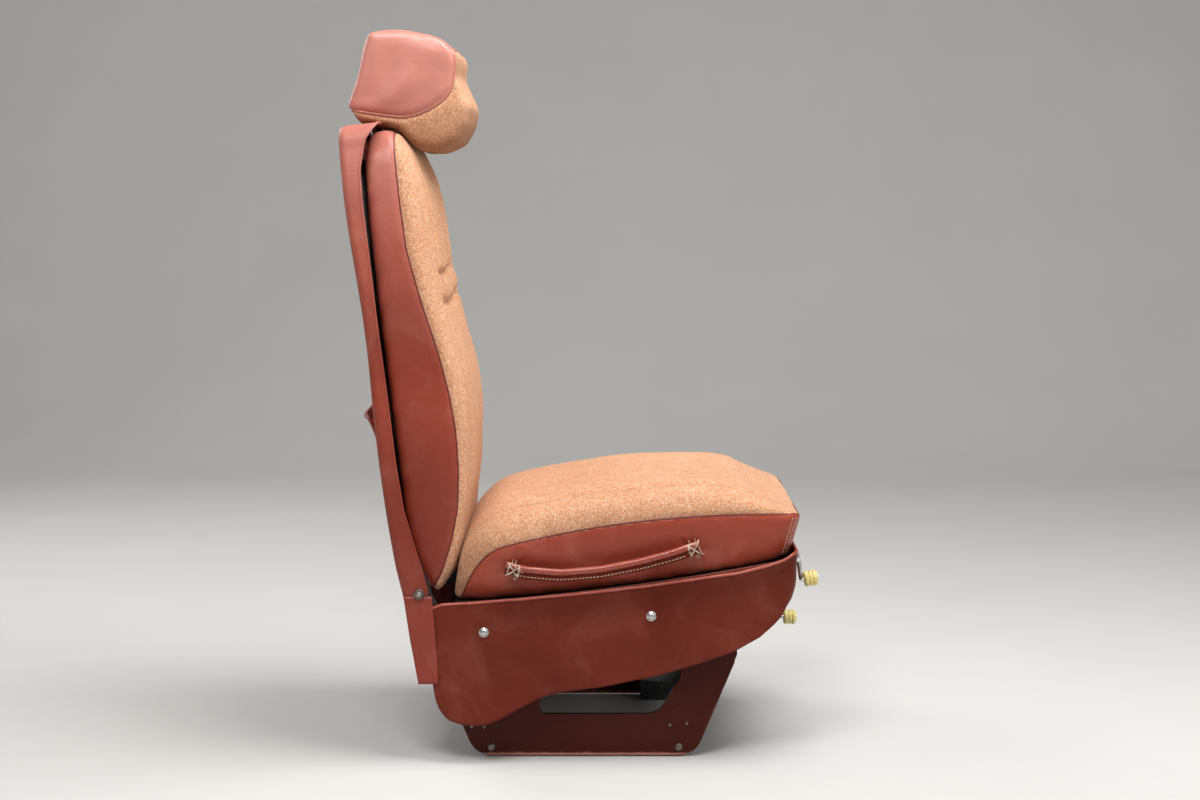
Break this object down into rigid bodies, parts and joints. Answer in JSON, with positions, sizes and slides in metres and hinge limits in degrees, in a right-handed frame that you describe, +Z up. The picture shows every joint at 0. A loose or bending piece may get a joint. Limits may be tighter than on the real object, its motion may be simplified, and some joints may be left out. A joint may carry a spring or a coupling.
{
  "type": "aircraft co-pilot seat",
  "caption": "Upholstered aircraft crew seat: crank-raised pan and crank-reclined back on a pressed base with rail feet, headrest, side straps and leather skirts.",
  "frame": {"origin": "on the floor, below the middle of the seat's outer box", "axes": "+X forward, the way the occupant faces; +Y to the occupant's left; +Z up"},
  "size_m": [0.729, 0.5046, 1.116],
  "materials": {
    "red_leather": "smooth red-brown upholstery leather, soft sheen",
    "tweed_fabric": "orange-tan tweed weave with cream and orange flecks",
    "base_paint": "dark red-brown enamel, worn bright at the lower edge",
    "black_steel": "satin black enamel",
    "bare_steel": "turned bare steel",
    "chrome_rod": "polished chrome",
    "ivory_plastic": "ivory-yellow moulded plastic",
    "brass_metal": "machined brass"
  },
  "bodies": {
    "base": {"base_side_panel_right": "base_paint", "base_side_panel_left": "base_paint", "base_front_tie": "black_steel", "front_pivot_shaft": "bare_steel", "foot_front_right": "black_steel", "foot_bolt_front_right": "bare_steel", "foot_front_left": "black_steel", "foot_bolt_front_left": "bare_steel", "base_rear_tie": "black_steel", "rear_pivot_shaft": "bare_steel", "foot_rear_right": "black_steel", "foot_bolt_rear_right": "bare_steel", "foot_rear_left": "black_steel", "foot_bolt_rear_left": "bare_steel"},
    "roller_front_right": {"roller_front_right": "bare_steel"},
    "roller_front_left": {"roller_front_left": "bare_steel"},
    "roller_rear_right": {"roller_rear_right": "bare_steel"},
    "roller_rear_left": {"roller_rear_left": "bare_steel"},
    "lock_pin_right": {"lock_pin_right": "bare_steel"},
    "lock_pin_left": {"lock_pin_left": "bare_steel"},
    "front_link": {"front_lift_link": "black_steel"},
    "rear_link": {"rear_lift_link": "black_steel"},
    "pan": {"pan_sheet": "black_steel", "pan_front_member": "black_steel", "pan_rear_member": "black_steel", "pan_rail_right": "black_steel", "skirt_right": "red_leather", "strap_right": "red_leather", "back_pivot_bolt_right": "bare_steel", "front_bracket_right": "black_steel", "rear_bracket_right": "black_steel", "pan_rail_left": "black_steel", "skirt_left": "red_leather", "strap_left": "red_leather", "back_pivot_bolt_left": "bare_steel", "front_bracket_left": "black_steel", "rear_bracket_left": "black_steel", "skirt_front": "red_leather", "rear_apron": "red_leather", "seat_cushion": "tweed_fabric"},
    "back": {"back_hoop": "black_steel", "back_lower_tube": "black_steel", "back_hinge_plate_right": "black_steel", "back_hinge_plate_left": "black_steel", "back_cover": "red_leather", "map_pocket": "red_leather", "back_cushion": "tweed_fabric", "headrest_guide_right": "black_steel", "headrest_guide_left": "black_steel"},
    "headrest": {"headrest_pad": "red_leather", "headrest_frame": "chrome_rod"},
    "recline_crank": {"recline_shaft": "bare_steel", "recline_crank_arm": "chrome_rod"},
    "recline_knob": {"recline_knob": "ivory_plastic"},
    "recline_nut": {"recline_nut": "brass_metal"},
    "height_crank": {"height_shaft": "bare_steel", "height_crank_arm": "chrome_rod"},
    "height_knob": {"height_knob": "ivory_plastic"},
    "height_nut": {"height_nut": "brass_metal"}
  },
  "joints": [
    {"name": "seat_lift", "type": "hinge", "parent": "base", "child": "front_link", "pos_m": [0.18, 0, 0.114], "axis": [0, 1, 0], "range_deg": [0, 34]},
    {"name": "rear_link_swing", "type": "hinge", "parent": "base", "child": "rear_link", "pos_m": [-0.1, 0, 0.114], "axis": [0, 1, 0], "range_deg": [0, 34.5]},
    {"name": "pan_level", "type": "hinge", "parent": "front_link", "child": "pan", "pos_m": [0.06066, 0, 0.12654], "axis": [0, 1, 0], "range_deg": [-34.5, 0]},
    {"name": "back_recline", "type": "hinge", "parent": "pan", "child": "back", "pos_m": [-0.252, 0, 0.261], "axis": [0, -1, 0], "range_deg": [0, 15]},
    {"name": "headrest_slide", "type": "slide", "parent": "back", "child": "headrest", "axis": [-0.1149, 0, 0.9934], "range_m": [0, 0.06]},
    {"name": "recline_crank_turn", "type": "hinge", "parent": "pan", "child": "recline_crank", "pos_m": [0.3298, -0.15, 0.3005], "axis": [0.9877, 0, 0.1564], "range_deg": [0, 620]},
    {"name": "recline_knob_spin", "type": "hinge", "parent": "recline_crank", "child": "recline_knob", "pos_m": [0.34128, -0.15, 0.26638], "axis": [0.9877, 0, 0.1564], "continuous": true},
    {"name": "recline_nut_slide", "type": "slide", "parent": "pan", "child": "recline_nut", "axis": [0.9877, 0, 0.1564], "range_m": [0, 0.0138]},
    {"name": "height_crank_turn", "type": "hinge", "parent": "pan", "child": "height_crank", "pos_m": [0.3283, 0.15, 0.18904], "axis": [1, 0, 0], "range_deg": [0, 1725]},
    {"name": "height_knob_spin", "type": "hinge", "parent": "height_crank", "child": "height_knob", "pos_m": [0.3343, 0.15, 0.14704], "axis": [1, 0, 0], "continuous": true},
    {"name": "height_nut_slide", "type": "slide", "parent": "pan", "child": "height_nut", "axis": [1, 0, 0], "range_m": [0, 0.0384]},
    {"name": "roller_front_right_spin", "type": "hinge", "parent": "base", "child": "roller_front_right", "pos_m": [0.108, -0.1825, 0.0215], "axis": [0, 1, 0], "continuous": true},
    {"name": "roller_front_left_spin", "type": "hinge", "parent": "base", "child": "roller_front_left", "pos_m": [0.108, 0.1825, 0.0215], "axis": [0, 1, 0], "continuous": true},
    {"name": "roller_rear_right_spin", "type": "hinge", "parent": "base", "child": "roller_rear_right", "pos_m": [-0.108, -0.1825, 0.0215], "axis": [0, 1, 0], "continuous": true},
    {"name": "roller_rear_left_spin", "type": "hinge", "parent": "base", "child": "roller_rear_left", "pos_m": [-0.108, 0.1825, 0.0215], "axis": [0, 1, 0], "continuous": true},
    {"name": "lock_pin_right_pull", "type": "slide", "parent": "base", "child": "lock_pin_right", "axis": [0, 0, 1], "range_m": [0, 0.008], "stiffness_N_per_m": 250, "springref_m": -0.012},
    {"name": "lock_pin_left_pull", "type": "slide", "parent": "base", "child": "lock_pin_left", "axis": [0, 0, 1], "range_m": [0, 0.008], "stiffness_N_per_m": 250, "springref_m": -0.012}
  ],
  "couplings": [
    {"joint": "rear_link_swing", "follows": "seat_lift", "ratio": 1},
    {"joint": "pan_level", "follows": "seat_lift", "ratio": -1},
    {"joint": "height_nut_slide", "follows": "seat_lift", "m_per_rad": 0.064401},
    {"joint": "height_crank_turn", "follows": "seat_lift", "ratio": 50.58},
    {"joint": "recline_nut_slide", "follows": "back_recline", "m_per_rad": 0.052299},
    {"joint": "recline_crank_turn", "follows": "back_recline", "ratio": 41.076}
  ]
}
